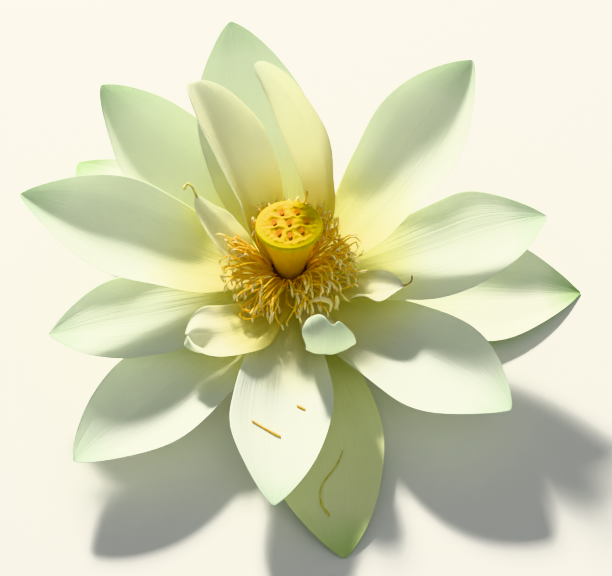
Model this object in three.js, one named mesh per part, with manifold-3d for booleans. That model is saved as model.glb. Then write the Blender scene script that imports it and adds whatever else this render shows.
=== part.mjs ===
// Lotus flower: an open bloom with cream-white tepals in several whorls round a yellow,
// cone-shaped receptacle, a ring of orange stamens, and a short piece of its green stalk.
// It was picked with the stalk cut short, and rests on the drooping tips of its three
// outermost tepals.
//
// Millimetres, +Z up. The bloom is modelled about its own axis, with z = 0 at the foot of the
// receptacle. The whole group is then moved, so that the origin lies on the surface it rests
// on, below the middle of its box. Angles are in degrees, with azimuth 0 at +X and 90 at +Y.

import * as THREE from 'three';
import { mergeVertices } from 'three/addons/utils/BufferGeometryUtils.js';
import Module from 'manifold-3d';

const wasm = await Module();
wasm.setup();

// ---- Driving dimensions -------------------------------------------------------------------

const SEAT_GAP = 0.3;           // clearance where one piece is seated on another
const FLOOR_Z = -21;            // the surface, below the foot of the receptacle

const BLADE = 0.7;              // thickness of a tepal
const BLADE_ROWS = 12;          // steps from a tepal's base to its tip
const BLADE_COLUMNS = 8;        // steps across a tepal
const TIP_HALF_WIDTH = 0.8;     // a tepal ends in a tiny flat tip
const NARROW_BASE = 0.16;       // width of a tepal's base, as a share of its full width
const BASE_RADIUS = 7;          // distance from the axis where a tepal's midrib starts
const FLAT_BASE = 0.2;          // share of its cupping and roll that a tepal has at its base
const FULL_FORM_AT = 0.4;       // share of the length after which it has them in full

const HEAD_RADIUS = 12.4;       // receptacle, at the rim
const HEAD_HEIGHT = 28;         // receptacle, foot to rim
const FOOT_RADIUS = 4.8;        // receptacle, at its foot
const RIM_BULGE = 0.5;          // how far the rim's lip stands out
const TOP_RISE = 0.9;           // how far the middle of its top is above the rim
const CARPEL_RING = 6.3;        // radius of the ring of carpels
const CARPELS_IN_RING = 7;
const CARPEL_PHASE = 11;        // azimuth of the first carpel in the ring
const PIT_RADIUS = 1.7;         // the dimple that each carpel sits in
const PIT_DEPTH = 0.6;
const STIGMA_RADIUS = 0.75;
const STIGMA_RISE = 0.5;        // how far a stigma stands above the receptacle's top
const STIGMA_ROOT = 1;          // how far it goes on below the floor of its dimple

const TORUS_RADIUS = 7.4;       // top of the stalk, which carries the tepals
const TORUS_DEPTH = 9;
const TORUS_BEVEL = 0.7;
const NECK_DEPTH = 4;           // below the torus, where the stalk flares out to meet it
const NECK_FLARE = 1;
const STALK_RADIUS = 4.4;
const STALK_CLEARANCE = 2;      // from the cut end to the surface
const CANAL_RADIUS = 0.9;       // air canals in the cut end
const CANAL_RING = 2.6;
const CANALS = 6;
const CANAL_DEPTH = 6;

const STAMENS = 96;             // tried for; one that finds no free way is left out
const STAMEN_SEED = 11;
const STAMEN_STEPS = 6;         // straight stretches in one stamen
const STAMEN_SIDES = 3;
const COLLAR_INNER = 5.9;       // the collar that the stamens grow from
const COLLAR_OUTER = 7.2;
const COLLAR_HEIGHT = 2.6;
const FILAMENT_RADIUS = 0.38;
const ANTHER_RADIUS = 0.6;
const CLUB_RADIUS = 0.85;       // the cream appendage on the end of a stamen
const ANTHER_FROM = 0.5;        // share of a stamen's length where its anther starts
const CLUB_FROM = 0.8;          // share where its club starts
const STAMEN_CLEARANCE = 2;     // from a stamen's middle line to any tepal's
const HEAD_CLEARANCE = 1;       // from a stamen's middle line to the receptacle's flank
const STAMEN_REACH = 45;        // nothing of a stamen is further from the axis than this
const GOLDEN_ANGLE = 137.508;
const STAMEN_LENGTH = [26, 34];
const STAMEN_CLIMB = [18, 60];  // at the collar
const STAMEN_ARCH = [30, 95];   // how far it bends down again by its end
const STAMEN_SWAY = [-25, 25];  // how far it swings sideways
const LATE_ARCH = 1.6;          // above 1, it arches over nearer its end
const STEEPEST_CLIMB = 66;      // a stamen in the way of a tepal is raised up to this,
const CLIMB_STEP = 3;           // by this much at a time,
const ARCH_STEP = 6;            // and arches over by this much less,
const LEAST_ARCH = 10;          // down to this

const ROUND_SEGMENTS = 28;      // facets round the receptacle
const STALK_SEGMENTS = 24;      // facets round the stalk and the collar
const FINE_ROWS = 60;           // the finer sheets that stamens are kept clear of
const FINE_COLUMNS = 20;

// One row for each tepal, from the outermost whorl to the innermost.
//   az        azimuth of its base            bend     how far its heading swings by the tip
//   rise      climb at the base              end      climb at the tip
//   curl      above 1, the climb changes late
//   level     height of its base             roll     turn about its own midrib
//   length    along the midrib               width    across the flattened blade
//   cup       half-angles that its left and right halves curve through, seen from the axis
//   widest    share of the length at the widest point
//   taper     below 1, a blunter tip
const TEPALS = {
  tepal_outer_right: {
    az: 2, bend: 2, rise: -8, end: -5, level: -8, length: 115, width: 57, roll: 13,
    cup: [42, 35], widest: 0.55, taper: 0.88, rests: true,
  },
  tepal_outer_front: {
    az: -81, bend: 2, rise: -12, end: -4, level: -8, length: 110, width: 49, roll: -3,
    cup: [38, 40], widest: 0.58, taper: 0.73, rests: true,
  },
  tepal_outer_back_left: {
    az: 146, bend: -14, rise: -8, end: -4, level: -8, length: 124, width: 51, roll: 0,
    cup: [40, 40], widest: 0.56, taper: 0.82, rests: true,
  },
  tepal_back_left: {
    az: 138, bend: 8, rise: 8, end: 51, level: -6.5, length: 107, width: 50, roll: -6,
    cup: [55, 41], widest: 0.58, taper: 0.69,
  },
  tepal_front_left: {
    az: -128, bend: -7, rise: -7, end: 11, level: -6.3, length: 108, width: 44, roll: -2,
    cup: [36, 38], widest: 0.63, taper: 0.71,
  },
  tepal_front_right: {
    az: -41, bend: 0, rise: -4, end: 17, level: -6, length: 100, width: 47, roll: 3,
    cup: [41, 35], widest: 0.65, taper: 0.78,
  },
  tepal_front: {
    az: -92, bend: -1, rise: 1, end: 7, level: -4.5, length: 100, width: 39, roll: -3,
    cup: [33, 36], widest: 0.62, taper: 0.81,
  },
  tepal_left_low: {
    az: -152, bend: -16, rise: 4, end: 6, level: -4.6, length: 91, width: 39, roll: -6,
    cup: [25, 42], widest: 0.66, taper: 0.85,
  },
  tepal_right: {
    az: -3, bend: 10, rise: 4, end: 37, level: -4.5, length: 99, width: 50, roll: 5,
    cup: [42, 41], widest: 0.66, taper: 0.8,
  },
  tepal_left: {
    az: -178, bend: -6, rise: 17, end: 35, level: -2.6, length: 104, width: 48, roll: -12,
    cup: [45, 38], widest: 0.59, taper: 0.78,
  },
  tepal_back_right: {
    az: 25, bend: 15, rise: 28, end: 64, level: -3.4, length: 108, width: 52, roll: -4,
    cup: [39, 45], widest: 0.63, taper: 0.72,
  },
  tepal_back: {
    az: 106, bend: 0, rise: 27, end: 47, level: -3.5, length: 103, width: 52, roll: 0,
    cup: [41, 41], widest: 0.54, taper: 0.74,
  },
  tepal_inner_left: {
    az: 132, bend: -6, rise: 61, end: 34, level: -1.5, length: 81, width: 38, roll: 23,
    cup: [64, 50], widest: 0.6, taper: 0.46,
  },
  tepal_inner_right: {
    az: 42, bend: 147, rise: 43, end: 52, level: -1.2, length: 92, width: 21, roll: -50,
    cup: [40, 44], widest: 0.52, taper: 0.5,
  },
  tepal_small_back_left: {
    az: 179, bend: -52, rise: 39, end: 42, level: -1, length: 45, width: 14, roll: 0,
    cup: [45, 45], widest: 0.76, taper: 0.45,
  },
  tepal_small_front_left: {
    az: -103, bend: -74, rise: 2, end: 22, curl: 2, level: -1.6, length: 53, width: 29,
    roll: 0, cup: [46, 36], widest: 0.76, taper: 0.36,
  },
  tepal_small_front: {
    az: -68, bend: -11, rise: -4.5, end: 156, curl: 2.6, level: -0.7, length: 66, width: 20,
    roll: 0, cup: [24, 46], widest: 0.78, taper: 0.26,
  },
  tepal_small_right: {
    az: -29, bend: 20, rise: 12, end: 22, level: -1.6, length: 42, width: 16, roll: 0,
    cup: [45, 36], widest: 0.76, taper: 0.66,
  },
};

const COLOURS = {
  stalk: 0x7f9a4a,
  receptacle: 0xe3c421,
  stamens: 0xe5a52a,
  tepal: 0xeff0d2,
  tepal_outer: 0xc9d6a0,
};

// ---- Small helpers ------------------------------------------------------------------------

const radians = (degrees) => THREE.MathUtils.degToRad(degrees);
const clamp01 = (value) => THREE.MathUtils.clamp(value, 0, 1);
const mix = THREE.MathUtils.lerp;

// A seeded source of numbers from 0 to 1.
function randomFrom(seed) {
  let state = seed;
  return () => {
    state = (state + 0x6d2b79f5) | 0;
    let word = Math.imul(state ^ (state >>> 15), 1 | state);
    word = (word + Math.imul(word ^ (word >>> 7), 61 | word)) ^ word;
    return ((word ^ (word >>> 14)) >>> 0) / 4294967296;
  };
}

function toSolid(geometry) {
  const bare = geometry.clone();
  bare.deleteAttribute('normal');
  bare.deleteAttribute('uv');
  const merged = mergeVertices(bare, 1e-5);
  return new wasm.Manifold(new wasm.Mesh({
    numProp: 3,
    vertProperties: new Float32Array(merged.attributes.position.array),
    triVerts: new Uint32Array(merged.index.array),
  }));
}

function toGeometry(solid) {
  const mesh = solid.getMesh();
  const geometry = new THREE.BufferGeometry();
  geometry.setAttribute('position', new THREE.BufferAttribute(mesh.vertProperties, 3));
  geometry.setIndex(new THREE.BufferAttribute(mesh.triVerts, 1));
  geometry.computeVertexNormals();
  return geometry;
}

function addAll(first, others) {
  return others.reduce((whole, piece) => whole.add(piece), first);
}

// A closed tube through the given rings, each one a centre, two directions across and a
// radius. Both ends are closed with a fan.
function tubeSolid(rings, sides) {
  const positions = [];
  rings.forEach(({ centre, u, v, radius }) => {
    for (let side = 0; side < sides; side++) {
      const angle = (2 * Math.PI * side) / sides;
      const point = centre.clone()
        .addScaledVector(u, radius * Math.cos(angle))
        .addScaledVector(v, radius * Math.sin(angle));
      positions.push(point.x, point.y, point.z);
    }
  });
  const indices = [];
  for (let ring = 0; ring + 1 < rings.length; ring++) {
    for (let side = 0; side < sides; side++) {
      const here = ring * sides + side;
      const next = ring * sides + ((side + 1) % sides);
      indices.push(here, next, next + sides, here, next + sides, here + sides);
    }
  }
  const last = (rings.length - 1) * sides;
  for (let side = 1; side + 1 < sides; side++) {
    indices.push(0, side + 1, side);
    indices.push(last, last + side, last + side + 1);
  }
  const geometry = new THREE.BufferGeometry();
  geometry.setAttribute('position', new THREE.Float32BufferAttribute(positions, 3));
  geometry.setIndex(indices);
  return toSolid(geometry);
}

function latheSolid(profile, segments) {
  const points = profile.map(([radius, height]) => new THREE.Vector2(radius, height));
  const geometry = new THREE.LatheGeometry(points, segments);
  geometry.rotateX(Math.PI / 2);
  return toSolid(geometry);
}

function cylinderSolid(radius, height, sides, x, y, z) {
  const geometry = new THREE.CylinderGeometry(radius, radius, height, sides);
  geometry.rotateX(Math.PI / 2);
  geometry.translate(x, y, z);
  return toSolid(geometry);
}

// ---- Tepals -------------------------------------------------------------------------------

// Width of the blade at s, from 0 at the base to 1 at the tip, as a share of its full width.
function outline(tepal, s) {
  if (s < tepal.widest) {
    return NARROW_BASE + (1 - NARROW_BASE) * Math.sin((Math.PI / 2) * (s / tepal.widest));
  }
  const towardsTip = (s - tepal.widest) / (1 - tepal.widest);
  return Math.cos((Math.PI / 2) * clamp01(towardsTip)) ** tepal.taper;
}

// A tepal is nearly flat at its base, and takes on its cupping and roll further out.
function formAt(s) {
  return mix(FLAT_BASE, 1, clamp01(s / FULL_FORM_AT));
}

// The direction of the midrib at s, with the directions across and out of the blade there.
function bladeFrame(tepal, s) {
  const heading = radians(tepal.az + tepal.bend * s);
  const climb = radians(mix(tepal.rise, tepal.end, s ** (tepal.curl ?? 1)));
  const along = new THREE.Vector3(
    Math.cos(climb) * Math.cos(heading),
    Math.cos(climb) * Math.sin(heading),
    Math.sin(climb),
  );
  const up = new THREE.Vector3(
    -Math.sin(climb) * Math.cos(heading),
    -Math.sin(climb) * Math.sin(heading),
    Math.cos(climb),
  );
  const across = new THREE.Vector3().crossVectors(along, up);
  const turn = radians(tepal.roll) * formAt(s);
  const inner = up.clone().multiplyScalar(Math.cos(turn)).addScaledVector(across, Math.sin(turn));
  across.multiplyScalar(Math.cos(turn)).addScaledVector(up, -Math.sin(turn));
  return { along, across, inner };
}

// The middle line of a tepal, walked in short steps from its base.
function midrib(tepal, rows) {
  const stepsPerRow = 8;
  const start = new THREE.Vector3(BASE_RADIUS, 0, tepal.level)
    .applyAxisAngle(new THREE.Vector3(0, 0, 1), radians(tepal.az));
  const points = [start];
  const stepCount = rows * stepsPerRow;
  const walker = start.clone();
  for (let step = 0; step < stepCount; step++) {
    const { along } = bladeFrame(tepal, (step + 0.5) / stepCount);
    walker.addScaledVector(along, tepal.length / stepCount);
    if ((step + 1) % stepsPerRow === 0) {
      points.push(walker.clone());
    }
  }
  return points;
}

// The tepal's middle surface as rows of points, each with its inward normal. Each half of the
// blade curves across as an arc of its own.
function tepalSheet(tepal, rows, columns) {
  const centres = midrib(tepal, rows);
  return centres.map((centre, row) => {
    const s = row / rows;
    const { across, inner } = bladeFrame(tepal, s);
    const halfWidth = Math.max((tepal.width / 2) * outline(tepal, s), TIP_HALF_WIDTH);
    const line = [];
    for (let column = 0; column <= columns; column++) {
      const t = (2 * column) / columns - 1;
      const cup = radians(tepal.cup[t < 0 ? 0 : 1]) * formAt(s);
      const radius = halfWidth / cup;
      const point = centre.clone()
        .addScaledVector(across, radius * Math.sin(cup * t))
        .addScaledVector(inner, radius * (1 - Math.cos(cup * t)));
      const normal = inner.clone().multiplyScalar(Math.cos(cup * t))
        .addScaledVector(across, -Math.sin(cup * t));
      line.push({ point, normal, s });
    }
    return line;
  });
}

// A tepal that carries the bloom droops until its lowest corner lies on the surface.
function droopToFloor(sheet) {
  const tipRow = sheet[sheet.length - 1];
  const lowest = Math.min(...tipRow.map(({ point, normal }) => point.z - normal.z * BLADE / 2));
  sheet.flat().forEach((entry) => {
    entry.point.z += (FLOOR_Z - lowest) * entry.s ** 2;
  });
}

function placedSheet(tepal, rows, columns) {
  const sheet = tepalSheet(tepal, rows, columns);
  if (tepal.rests) {
    droopToFloor(sheet);
  }
  return sheet;
}

// Gives the sheet its thickness. Both faces have the same diagonals, so they never cross.
function sheetSolid(sheet, thickness) {
  const rows = sheet.length;
  const columns = sheet[0].length;
  const positions = [];
  [-thickness / 2, thickness / 2].forEach((offset) => {
    sheet.flat().forEach(({ point, normal }) => {
      const moved = point.clone().addScaledVector(normal, offset);
      positions.push(moved.x, moved.y, moved.z);
    });
  });
  const faceSize = rows * columns;
  const indices = [];
  const quad = (a, b, c, d) => indices.push(a, b, c, a, c, d);
  for (let row = 0; row + 1 < rows; row++) {
    for (let column = 0; column + 1 < columns; column++) {
      const a = row * columns + column;
      const b = a + 1;
      const c = b + columns;
      const d = a + columns;
      quad(a, d, c, b);
      quad(a + faceSize, b + faceSize, c + faceSize, d + faceSize);
    }
  }
  for (let row = 0; row + 1 < rows; row++) {
    const left = row * columns;
    const right = left + columns - 1;
    quad(left, left + faceSize, left + columns + faceSize, left + columns);
    quad(right, right + columns, right + columns + faceSize, right + faceSize);
  }
  const tip = (rows - 1) * columns;
  for (let column = 0; column + 1 < columns; column++) {
    quad(column, column + 1, column + 1 + faceSize, column + faceSize);
    quad(tip + column, tip + column + faceSize, tip + column + 1 + faceSize, tip + column + 1);
  }
  const geometry = new THREE.BufferGeometry();
  geometry.setAttribute('position', new THREE.Float32BufferAttribute(positions, 3));
  geometry.setIndex(indices);
  return toSolid(geometry);
}

// ---- Stalk and receptacle -----------------------------------------------------------------

// The stalk's outline from its cut end to the torus, grown outwards by a margin.
function stalkProfile(margin) {
  const cutEnd = FLOOR_Z + STALK_CLEARANCE;
  return [
    [0, cutEnd - margin],
    [STALK_RADIUS + margin, cutEnd - margin],
    [STALK_RADIUS + margin, -TORUS_DEPTH - NECK_DEPTH],
    [STALK_RADIUS + NECK_FLARE + margin, -TORUS_DEPTH - NECK_FLARE],
    [TORUS_RADIUS + margin, -TORUS_DEPTH],
    [TORUS_RADIUS + margin, -SEAT_GAP - TORUS_BEVEL + margin],
    [TORUS_RADIUS - TORUS_BEVEL + margin, -SEAT_GAP + margin],
    [0, -SEAT_GAP + margin],
  ];
}

function buildStalk() {
  let stalk = latheSolid(stalkProfile(0), STALK_SEGMENTS);
  const cutEnd = FLOOR_Z + STALK_CLEARANCE;
  for (let canal = 0; canal < CANALS; canal++) {
    const angle = (2 * Math.PI * canal) / CANALS;
    stalk = stalk.subtract(cylinderSolid(
      CANAL_RADIUS, 2 * CANAL_DEPTH, 8,
      CANAL_RING * Math.cos(angle), CANAL_RING * Math.sin(angle), cutEnd,
    ));
  }
  return stalk;
}

// Radius of the receptacle's flank at a height above its foot.
function flankRadius(height) {
  return mix(FOOT_RADIUS, HEAD_RADIUS, height / HEAD_HEIGHT);
}

function carpelPlaces() {
  const places = [[0, 0]];
  for (let carpel = 0; carpel < CARPELS_IN_RING; carpel++) {
    const angle = radians(CARPEL_PHASE + (360 * carpel) / CARPELS_IN_RING);
    places.push([CARPEL_RING * Math.cos(angle), CARPEL_RING * Math.sin(angle)]);
  }
  return places;
}

// Height of the receptacle's gently domed top, away from the axis.
function topHeight(radius) {
  return HEAD_HEIGHT + TOP_RISE * (1 - (radius / HEAD_RADIUS) ** 2);
}

function buildReceptacle() {
  const flank = [0, 4, 10, 17, 24].map((height) => [flankRadius(height), height]);
  const rim = [
    [HEAD_RADIUS - 0.2, HEAD_HEIGHT - 2.6],
    [HEAD_RADIUS + RIM_BULGE, HEAD_HEIGHT - 1.4],
    [HEAD_RADIUS + RIM_BULGE - 0.1, HEAD_HEIGHT - 0.5],
    [HEAD_RADIUS - 0.4, HEAD_HEIGHT + 0.1],
    [HEAD_RADIUS - 1.4, HEAD_HEIGHT - 0.4],
  ];
  const top = [9, 5, 2].map((radius) => [radius, topHeight(radius)]);
  const profile = [[0, 0], ...flank, ...rim, ...top, [0, topHeight(0)]];
  let head = latheSolid(profile, ROUND_SEGMENTS);
  const stigmaHeight = STIGMA_RISE + PIT_DEPTH + STIGMA_ROOT;
  carpelPlaces().forEach(([x, y]) => {
    const surface = topHeight(Math.hypot(x, y));
    const pit = new THREE.SphereGeometry(PIT_RADIUS, 8, 6);
    pit.scale(1, 1, PIT_DEPTH / PIT_RADIUS);
    pit.translate(x, y, surface);
    head = head.subtract(toSolid(pit));
    head = head.add(cylinderSolid(
      STIGMA_RADIUS, stigmaHeight, 6, x, y, surface + STIGMA_RISE - stigmaHeight / 2,
    ));
  });
  return head;
}

// ---- Stamens ------------------------------------------------------------------------------

// The middle line of one stamen: it leaves the collar at a climb and arches over outwards.
function stamenPath(stamen, steps) {
  const points = [];
  const point = new THREE.Vector3(stamen.root, 0, stamen.height);
  let heading = 0;
  for (let step = 0; step <= steps; step++) {
    points.push(point.clone());
    const s = (step + 0.5) / steps;
    const climb = radians(mix(stamen.climb, stamen.climb - stamen.arch, s ** LATE_ARCH));
    heading += radians(stamen.sway) / steps;
    point.x += (stamen.length / steps) * Math.cos(climb) * Math.cos(heading);
    point.y += (stamen.length / steps) * Math.cos(climb) * Math.sin(heading);
    point.z += (stamen.length / steps) * Math.sin(climb);
  }
  const axis = new THREE.Vector3(0, 0, 1);
  return points.map((each) => each.applyAxisAngle(axis, radians(stamen.az)));
}

// Points along a path that are close enough together to test it against other pieces. The
// start is left out, because it lies inside the collar.
function samplesAlong(path) {
  return path.slice(1).flatMap((end, index) => (
    [1 / 3, 2 / 3, 1].map((share) => path[index].clone().lerp(end, share))
  ));
}

function isClear(path, sheetPoints) {
  return samplesAlong(path).every((point) => {
    const offAxis = Math.hypot(point.x, point.y);
    if (point.z < HEAD_HEIGHT && offAxis < flankRadius(Math.max(point.z, 0)) + HEAD_CLEARANCE) {
      return false;
    }
    return sheetPoints.every((other) => other.distanceToSquared(point) > STAMEN_CLEARANCE ** 2);
  });
}

// Radius of a stamen along its length: thin filament, longer anther, then the cream club.
function stamenRadius(s) {
  if (s < ANTHER_FROM) {
    return FILAMENT_RADIUS;
  }
  if (s < CLUB_FROM) {
    return ANTHER_RADIUS;
  }
  return s < 1 ? CLUB_RADIUS : CLUB_RADIUS / 2;
}

function stamenSolid(path) {
  const last = path.length - 1;
  const rings = path.map((centre, index) => {
    const along = path[Math.min(index + 1, last)].clone().sub(path[Math.max(index - 1, 0)]);
    along.normalize();
    const u = new THREE.Vector3(0, 0, 1).cross(along).normalize();
    const v = new THREE.Vector3().crossVectors(along, u);
    return { centre, u, v, radius: stamenRadius(index / last) };
  });
  return tubeSolid(rings, STAMEN_SIDES);
}

function buildStamens(sheets) {
  const sheetPoints = sheets.flat(2).map(({ point }) => point)
    .filter((point) => Math.hypot(point.x, point.y) < STAMEN_REACH);
  const random = randomFrom(STAMEN_SEED);
  const collarProfile = [
    [COLLAR_INNER, 0],
    [COLLAR_OUTER, 0],
    [COLLAR_OUTER, COLLAR_HEIGHT],
    [COLLAR_INNER, COLLAR_HEIGHT],
    [COLLAR_INNER, 0],
  ];
  const solids = [];
  for (let index = 0; index < STAMENS; index++) {
    const stamen = {
      az: index * GOLDEN_ANGLE,
      root: (COLLAR_INNER + COLLAR_OUTER) / 2,
      height: mix(ANTHER_RADIUS, COLLAR_HEIGHT - ANTHER_RADIUS, random()),
      climb: mix(...STAMEN_CLIMB, random()),
      arch: mix(...STAMEN_ARCH, random()),
      sway: mix(...STAMEN_SWAY, random()),
      length: mix(...STAMEN_LENGTH, random()),
    };
    let path = stamenPath(stamen, STAMEN_STEPS);
    while (!isClear(path, sheetPoints) && stamen.climb < STEEPEST_CLIMB) {
      stamen.climb += CLIMB_STEP;
      stamen.arch = Math.max(stamen.arch - ARCH_STEP, LEAST_ARCH);
      path = stamenPath(stamen, STAMEN_STEPS);
    }
    if (isClear(path, sheetPoints)) {
      solids.push(stamenSolid(path));
    }
  }
  return addAll(latheSolid(collarProfile, STALK_SEGMENTS), solids);
}

// ---- Assembly -----------------------------------------------------------------------------

const group = new THREE.Group();

function addMesh(name, solid, colour, roughness) {
  const material = new THREE.MeshStandardMaterial({ color: colour, roughness, metalness: 0 });
  const mesh = new THREE.Mesh(toGeometry(solid), material);
  mesh.name = name;
  group.add(mesh);
}

addMesh('stalk', buildStalk(), COLOURS.stalk, 0.6);
addMesh('receptacle', buildReceptacle(), COLOURS.receptacle, 0.5);

const seat = latheSolid(stalkProfile(SEAT_GAP), STALK_SEGMENTS);
Object.entries(TEPALS).forEach(([name, tepal]) => {
  const sheet = placedSheet(tepal, BLADE_ROWS, BLADE_COLUMNS);
  const colour = name.startsWith('tepal_outer') ? COLOURS.tepal_outer : COLOURS.tepal;
  addMesh(name, sheetSolid(sheet, BLADE).subtract(seat), colour, 0.45);
});

const fineSheets = Object.values(TEPALS)
  .map((tepal) => placedSheet(tepal, FINE_ROWS, FINE_COLUMNS));
addMesh('stamens', buildStamens(fineSheets), COLOURS.stamens, 0.55);

const box = new THREE.Box3().setFromObject(group);
const middle = box.getCenter(new THREE.Vector3());
group.position.set(-middle.x, -middle.y, -box.min.z);

export default group;
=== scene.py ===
"""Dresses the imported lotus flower: fine tepals, receptacle, stamens and stalk on a pale floor.

The bloom is shaped in millimetres about its own axis, with z = 0 at the foot of the
receptacle, and each piece is then put into its mesh in the frame's metres.
"""

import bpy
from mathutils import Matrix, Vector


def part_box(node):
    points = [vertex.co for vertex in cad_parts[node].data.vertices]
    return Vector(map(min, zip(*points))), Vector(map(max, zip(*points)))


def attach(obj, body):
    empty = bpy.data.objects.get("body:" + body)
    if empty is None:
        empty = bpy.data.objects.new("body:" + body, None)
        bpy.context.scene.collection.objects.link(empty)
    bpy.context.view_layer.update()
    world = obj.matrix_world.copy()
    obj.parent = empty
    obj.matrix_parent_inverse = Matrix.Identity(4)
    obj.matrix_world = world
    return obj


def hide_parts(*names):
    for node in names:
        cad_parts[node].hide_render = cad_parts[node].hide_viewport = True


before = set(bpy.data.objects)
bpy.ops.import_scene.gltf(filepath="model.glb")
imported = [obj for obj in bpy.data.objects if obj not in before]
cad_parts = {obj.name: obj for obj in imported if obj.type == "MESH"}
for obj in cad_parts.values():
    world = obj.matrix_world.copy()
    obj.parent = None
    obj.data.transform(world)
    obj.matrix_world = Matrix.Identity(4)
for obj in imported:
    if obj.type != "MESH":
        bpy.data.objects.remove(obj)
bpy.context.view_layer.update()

import logging
import random
from collections.abc import Callable, Iterable
from dataclasses import dataclass, field
from enum import Enum
from functools import cache
from math import atan2, cos, exp, hypot, pi, radians, sin

import bmesh
import bpy
from bmesh.types import BMEdge, BMesh, BMFace, BMLayerItem, BMVert
from bpy.types import ID, Material, Node, NodeSocket, NodeTree, Object
from mathutils import Matrix, Vector, noise
from mathutils.bvhtree import BVHTree

log = logging.getLogger("lotus")

MM = 0.001
BODY = "root"
HEAD_LOW, HEAD_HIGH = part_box("receptacle")
FOOT = Vector(((HEAD_LOW.x + HEAD_HIGH.x) / 2, (HEAD_LOW.y + HEAD_HIGH.y) / 2, HEAD_LOW.z))
FLOOR_Z = -FOOT.z / MM
FOOT_RADIUS = 4.8
RIM_RADIUS = 12.4
HEAD_HEIGHT = 28.0
GOLDEN_ANGLE = 137.508
TUBE_MERGE = 1e-5
SPIN_MERGE = 1e-3
TINY = 1e-6


# ---- Shared helpers ----


def mix(low: float, high: float, share: float) -> float:
    """Gives the value a share of the way from low to high."""
    return low + (high - low) * share


def clamp(value: float) -> float:
    """Limits a value to the range from 0 to 1."""
    return max(0.0, min(1.0, value))


def smooth(low: float, high: float, value: float) -> float:
    """Rises gently from 0 at low to 1 at high."""
    share = clamp((value - low) / (high - low))
    return share * share * (3 - 2 * share)


def bump_at(middle: float, spread: float, value: float) -> float:
    """Gives a rounded hump of height 1 round a middle value."""
    return exp(-(((value - middle) / spread) ** 2))


def aim(heading: float, climb: float) -> Vector:
    """Gives the direction of a heading from +X towards +Y and a climb, in radians."""
    return Vector((cos(climb) * cos(heading), cos(climb) * sin(heading), sin(climb)))


def linear(hex_colour: str) -> tuple[float, float, float, float]:
    """Turns an sRGB hex colour into linear light.

    Args:
        hex_colour: The colour as six hex digits.

    Returns:
        Red, green, blue and an alpha of 1.
    """
    parts = [int(hex_colour[start:start + 2], 16) / 255 for start in (0, 2, 4)]
    light = [p / 12.92 if p <= 0.04045 else ((p + 0.055) / 1.055) ** 2.4 for p in parts]
    return (light[0], light[1], light[2], 1.0)


def add_node(
    tree: NodeTree, kind: str, inputs: dict[str | int, object] | None = None, **settings: object,
) -> Node:
    """Adds a shader node with its settings, and fills or links its inputs.

    Args:
        tree: The node tree that gets the node.
        kind: The node's type name after ShaderNode.
        inputs: For each input a value, a socket, or a node whose first output is linked.
        **settings: The node's own properties.

    Returns:
        The new node.
    """
    node = tree.nodes.new(f"ShaderNode{kind}")
    for name, value in settings.items():
        setattr(node, name, value)
    for key, value in (inputs or {}).items():
        source = value.outputs[0] if isinstance(value, Node) else value
        if isinstance(source, NodeSocket):
            tree.links.new(source, node.inputs[key])
        else:
            node.inputs[key].default_value = source
    return node


def set_ramp(node: Node, stops: list[tuple[float, str]]) -> Node:
    """Gives a colour ramp its stops.

    Args:
        node: The colour ramp node.
        stops: Position and sRGB hex colour of each stop.

    Returns:
        The same node.
    """
    elements = node.color_ramp.elements
    while len(elements) < len(stops):
        elements.new(1.0)
    for element, (position, colour) in zip(elements, stops):
        element.position = position
        element.color = linear(colour)
    return node


def new_material(name: str) -> tuple[Material, NodeTree]:
    """Makes an empty material.

    Args:
        name: What the material is.

    Returns:
        The material and its cleared node tree.
    """
    material = bpy.data.materials.new(name)
    material.use_nodes = True
    material.node_tree.nodes.clear()
    return material, material.node_tree


def finish_piece(
    name: str, shape: BMesh, materials: Iterable[Material], node: str = "",
    closed: bool = True,
) -> Object:
    """Turns shaped millimetres into a piece of the frame that rides on the bloom.

    Args:
        name: The piece's name.
        shape: The shaped mesh, which is freed.
        materials: The piece's materials, in slot order.
        node: The CAD node that the piece stands for, or nothing.
        closed: Whether the mesh is closed, so that its faces can be turned outwards.

    Returns:
        The finished object.
    """
    if closed:
        bmesh.ops.recalc_face_normals(shape, faces=shape.faces)
    shape.transform(Matrix.Translation(FOOT) @ Matrix.Scale(MM, 4))
    mesh = bpy.data.meshes.new(name)
    shape.to_mesh(mesh)
    shape.free()
    mesh.shade_smooth()
    for material in materials:
        mesh.materials.append(material)
    piece = bpy.data.objects.new(name, mesh)
    bpy.context.scene.collection.objects.link(piece)
    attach(piece, BODY)
    if node:
        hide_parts(node)
    log.info("%s: %d faces", name, len(mesh.polygons))
    return piece


def wrap_grid(
    shape: BMesh, sides: int, sections: list[tuple[Vector, Vector, Vector]],
    layer: BMLayerItem | None = None,
) -> None:
    """Wraps a grid into a tube, and merges its seam and its pinched ends.

    Args:
        shape: The mesh that gets the tube.
        sides: Faces round the tube.
        sections: The centre, half the width and half the height of each section.
        layer: A vertex layer that gets the share of the length.
    """
    steps = len(sections) - 1
    grid = bmesh.ops.create_grid(shape, x_segments=sides, y_segments=steps, size=1)
    for vert in grid["verts"]:
        row, angle = round((vert.co.y + 1) / 2 * steps), pi * vert.co.x
        centre, wide, high = sections[row]
        vert.co = centre + wide * cos(angle) + high * sin(angle)
        if layer is not None:
            vert[layer] = row / steps
    bmesh.ops.remove_doubles(shape, verts=grid["verts"], dist=TUBE_MERGE)


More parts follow.
